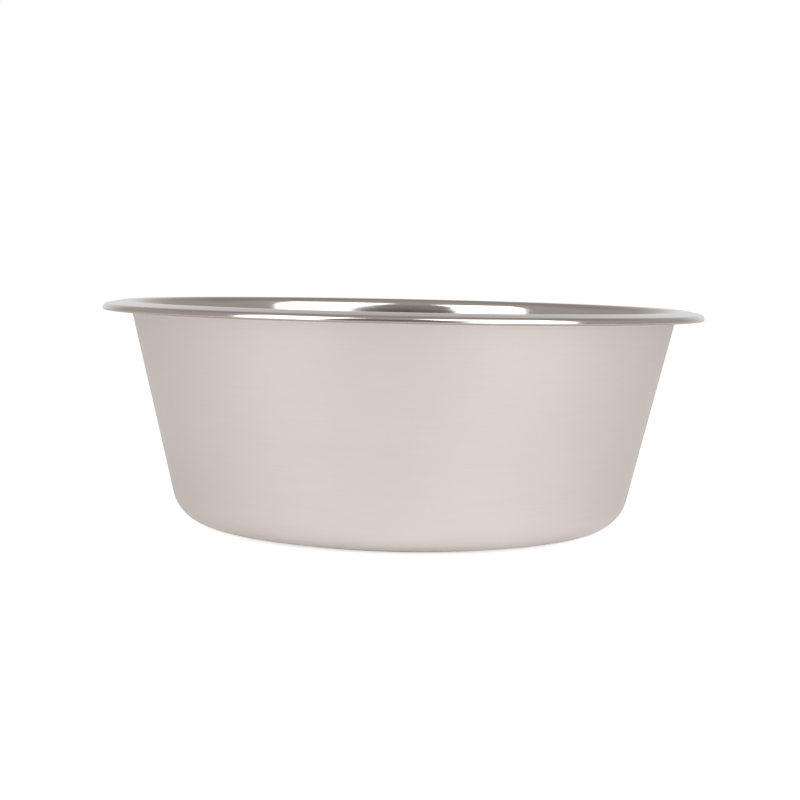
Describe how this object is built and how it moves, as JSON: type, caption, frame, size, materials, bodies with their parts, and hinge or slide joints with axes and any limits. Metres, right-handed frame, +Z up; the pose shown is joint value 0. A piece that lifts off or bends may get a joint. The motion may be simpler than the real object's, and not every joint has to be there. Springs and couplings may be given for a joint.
{
  "type": "pet food bowl",
  "caption": "Round steel pet food bowl with a steep tapered wall, a sloping flange with a curled edge, a rounded base corner and a rubber foot ring bonded under the base.",
  "frame": {"origin": "centre of the foot ring's underside, on the surface that the bowl stands on", "axes": "+Z up along the bowl's axis, out of its mouth; the bowl is round, so +X and +Y are any two square directions"},
  "size_m": [0.25, 0.25, 0.0924],
  "materials": {
    "steel": "stainless steel, satin outside, polished inside and on the rim",
    "rubber": "matt black moulded rubber"
  },
  "bodies": {
    "root": {"bowl_shell": "steel", "foot_ring": "rubber"}
  },
  "joints": []
}
